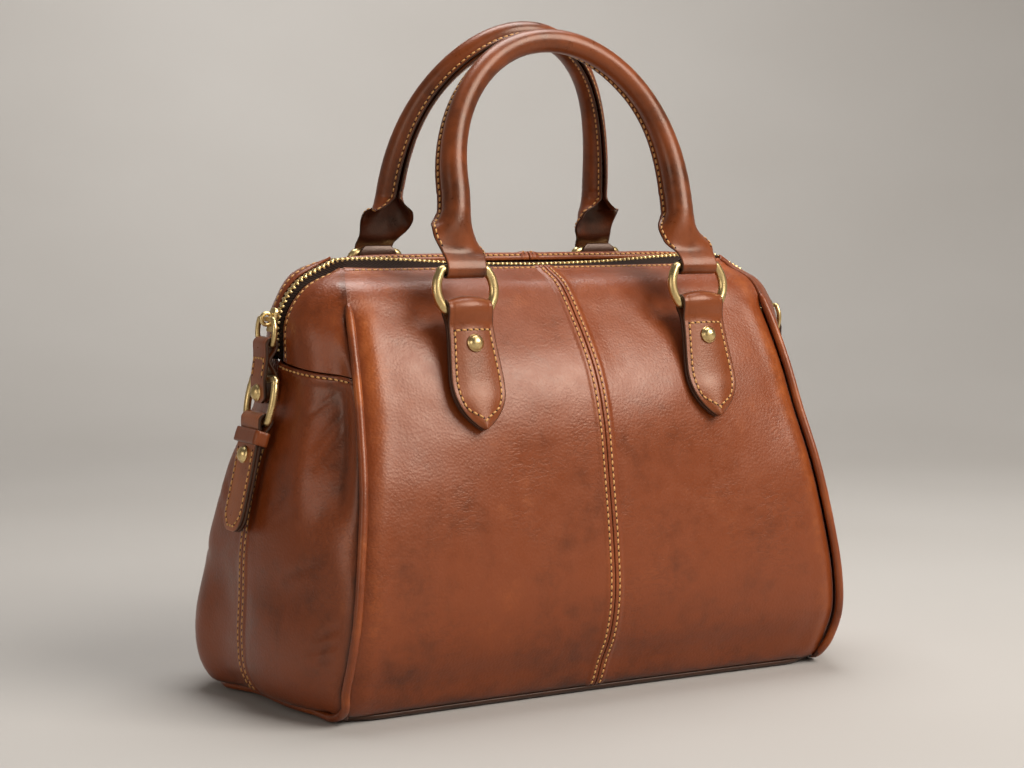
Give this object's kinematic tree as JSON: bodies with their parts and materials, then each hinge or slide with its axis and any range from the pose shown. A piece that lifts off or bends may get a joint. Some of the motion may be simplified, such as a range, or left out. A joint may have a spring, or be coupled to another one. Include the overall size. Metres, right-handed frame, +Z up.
{
  "type": "handbag",
  "caption": "Zipped top handbag in brown leather with piped end gussets, twin rolled handles on brass rings, and a buckled strap hanging from the zip slider at each end.",
  "frame": {"origin": "on the floor, under the middle of the bag", "axes": "+Z up, +X to the bag's right seen from the front, -Y toward the front panel"},
  "size_m": [0.3748, 0.1746, 0.3675],
  "materials": {
    "leather": "waxed cognac leather, satin",
    "trim_leather": "smooth brown strap leather, satin",
    "brass": "antique brass, polished",
    "zip_tape": "dark brown woven tape"
  },
  "bodies": {
    "bag": {"front_panel_left": "leather", "front_panel_right": "leather", "back_panel_left": "leather", "back_panel_right": "leather", "gusset_left_front": "leather", "gusset_left_back": "leather", "gusset_right_front": "leather", "gusset_right_back": "leather", "wing_left_front": "leather", "wing_left_back": "leather", "wing_right_front": "leather", "wing_right_back": "leather", "base": "leather", "piping_left": "leather", "piping_right": "leather", "zip_tape_front": "zip_tape", "zip_tape_back": "zip_tape", "zip_teeth": "brass", "zip_slider_left": "brass", "zip_slider_right": "brass", "pull_link_left": "brass", "pull_link_right": "brass", "strap_upper_left": "trim_leather", "strap_upper_right": "trim_leather", "buckle_left": "brass", "buckle_right": "brass", "strap_lower_left": "trim_leather", "strap_lower_right": "trim_leather", "keeper_left": "trim_leather", "keeper_right": "trim_leather", "strap_stud_left": "brass", "strap_stud_right": "brass", "strap_rivet_left": "brass", "strap_rivet_right": "brass", "tab_front_left": "trim_leather", "tab_front_right": "trim_leather", "tab_back_left": "trim_leather", "tab_back_right": "trim_leather", "tab_rivet_front_left": "brass", "tab_rivet_front_right": "brass", "tab_rivet_back_left": "brass", "tab_rivet_back_right": "brass"},
    "front_handle": {"handle_front": "trim_leather", "ring_front_left": "brass", "ring_front_right": "brass"},
    "back_handle": {"handle_back": "trim_leather", "ring_back_left": "brass", "ring_back_right": "brass"}
  },
  "joints": [
    {"name": "front_handle_swing", "type": "hinge", "parent": "bag", "child": "front_handle", "pos_m": [0, -0.0565, 0.21083], "axis": [1, 0, 0], "range_deg": [0, 135]},
    {"name": "back_handle_swing", "type": "hinge", "parent": "bag", "child": "back_handle", "pos_m": [0, 0.0565, 0.21757], "axis": [-1, 0, 0], "range_deg": [0, 135]}
  ]
}
